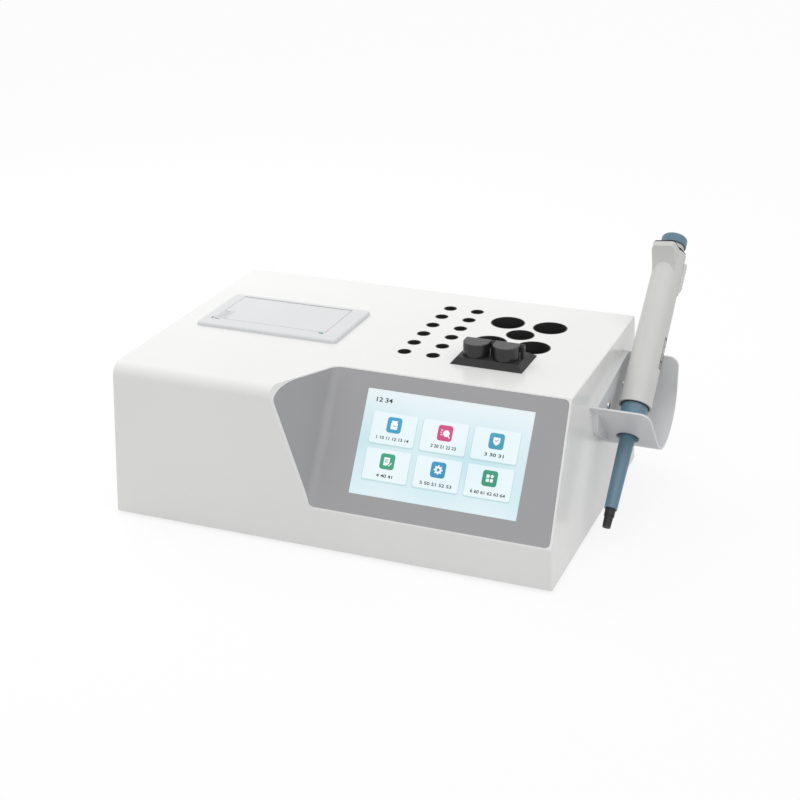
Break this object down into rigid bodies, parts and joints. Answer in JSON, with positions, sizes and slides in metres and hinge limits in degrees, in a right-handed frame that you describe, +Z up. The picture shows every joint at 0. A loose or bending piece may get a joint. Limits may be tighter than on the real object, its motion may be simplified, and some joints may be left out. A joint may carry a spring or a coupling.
{
  "type": "coagulation analyzer",
  "caption": "Bench blood-clotting analyzer: slanted touch screen, lidded receipt printer, warming wells, reagent wells, flip-cap measuring block and a pipette parked in a side holder.",
  "frame": {"origin": "on the bench, under the middle of the whole footprint with the pipette and its holder", "axes": "+X to the user's right along the front, +Y from the screen to the back, +Z up"},
  "size_m": [0.4028, 0.2756, 0.1992],
  "materials": {
    "casing_white": "glossy",
    "printer_white": "satin",
    "bezel_grey": "satin",
    "screen_glass": "glossy",
    "black_plastic": "satin",
    "cap_grey": "satin",
    "well_black": "matte",
    "holder_grey": "satin",
    "pipette_white": "satin",
    "pipette_blue": "satin",
    "window_clear": "glossy",
    "lamp_green": "glossy",
    "pan_grey": "satin",
    "plated_steel": "satin",
    "foot_rubber": "matte",
    "paper_white": "matte",
    "block_aluminium": "satin",
    "pad_orange": "matte",
    "board_green": "satin",
    "detector_dark": "glossy",
    "emitter_clear": "glossy",
    "pin_steel": "polished"
  },
  "bodies": {
    "case": {"base_pan": "pan_grey", "board_screws": "plated_steel", "board_standoffs": "pin_steel", "case_screws": "plated_steel", "cuvette_heater_block": "block_aluminium", "cuvette_wells": "well_black", "data_port": "pin_steel", "display_bracket": "block_aluminium", "display_module": "pan_grey", "display_screws": "plated_steel", "fan_frame": "black_plastic", "fan_guard": "plated_steel", "foot_nuts": "plated_steel", "foot_screws": "plated_steel", "heater_pads": "pad_orange", "hinge_pins": "pin_steel", "holder_screws": "plated_steel", "inlet_pins": "pin_steel", "light_detectors": "detector_dark", "light_emitters": "emitter_clear", "main_board": "board_green", "measuring_block": "black_plastic", "optics_board": "board_green", "pipette_holder": "holder_grey", "power_inlet": "black_plastic", "power_supply": "block_aluminium", "print_head": "pin_steel", "printer_bay": "black_plastic", "printer_frame": "printer_white", "reagent_heater_block": "block_aluminium", "reagent_wells": "well_black", "rear_panel": "pan_grey", "rear_screws": "plated_steel", "rubber_feet": "foot_rubber", "screen_bezel": "bezel_grey", "serial_port": "pin_steel", "status_lamp": "lamp_green", "support_pillars": "pin_steel", "switch_frame": "black_plastic", "temperature_sensors": "pin_steel", "top_cover": "casing_white", "touch_glass": "screen_glass"},
    "printer_lid": {"printer_lid": "printer_white"},
    "platen": {"platen_roller": "foot_rubber"},
    "paper_roll": {"paper_roll": "paper_white"},
    "lid_release": {"lid_release": "printer_white"},
    "left_cap": {"left_channel_cap": "cap_grey"},
    "right_cap": {"right_channel_cap": "cap_grey"},
    "pipette": {"pipette_handle": "pipette_white", "pipette_collar": "pipette_blue", "volume_window": "window_clear", "pipette_top_plate": "black_plastic", "pipette_nozzle": "black_plastic"},
    "plunger": {"push_button": "pipette_blue", "plunger_rod": "black_plastic"},
    "ejector": {"ejector_sleeve": "pipette_blue", "ejector_rod": "pin_steel", "ejector_button": "pipette_white"},
    "rocker": {"power_rocker": "black_plastic"},
    "fan": {"fan_rotor": "black_plastic"}
  },
  "joints": [
    {"name": "printer_lid_hinge", "type": "hinge", "parent": "case", "child": "printer_lid", "pos_m": [-0.1149, 0.02696, 0.1309], "axis": [-1, 0, 0], "range_deg": [0, 80]},
    {"name": "platen_spin", "type": "hinge", "parent": "printer_lid", "child": "platen", "pos_m": [-0.1116, -0.02124, 0.1261], "axis": [1, 0, 0], "continuous": true},
    {"name": "paper_roll_spin", "type": "hinge", "parent": "case", "child": "paper_roll", "pos_m": [-0.1116, 0.00416, 0.108], "axis": [1, 0, 0], "continuous": true},
    {"name": "lid_release_press", "type": "slide", "parent": "case", "child": "lid_release", "axis": [0, 0, -1], "range_m": [0, 0.0015], "stiffness_N_per_m": 500, "springref_m": -0.001},
    {"name": "left_cap_hinge", "type": "hinge", "parent": "case", "child": "left_cap", "pos_m": [0.06445, -0.02594, 0.1429], "axis": [-1, 0, 0], "range_deg": [0, 120]},
    {"name": "right_cap_hinge", "type": "hinge", "parent": "case", "child": "right_cap", "pos_m": [0.08825, -0.02594, 0.1429], "axis": [-1, 0, 0], "range_deg": [0, 120]},
    {"name": "pipette_lift", "type": "slide", "parent": "case", "child": "pipette", "axis": [0, 0.7314, 0.682], "range_m": [0, 0.13]},
    {"name": "plunger_push", "type": "slide", "parent": "pipette", "child": "plunger", "axis": [0, -0.7314, -0.682], "range_m": [0, 0.006], "stiffness_N_per_m": 400, "springref_m": -0.002},
    {"name": "ejector_push", "type": "slide", "parent": "pipette", "child": "ejector", "axis": [0, -0.7314, -0.682], "range_m": [0, 0.004], "stiffness_N_per_m": 600, "springref_m": -0.002},
    {"name": "power_rocker_tip", "type": "hinge", "parent": "case", "child": "rocker", "pos_m": [-0.13315, 0.10116, 0.0645], "axis": [1, 0, 0], "range_deg": [0, 12]},
    {"name": "fan_spin", "type": "hinge", "parent": "case", "child": "fan", "pos_m": [0.00985, 0.09566, 0.0545], "axis": [0, 1, 0], "continuous": true}
  ]
}
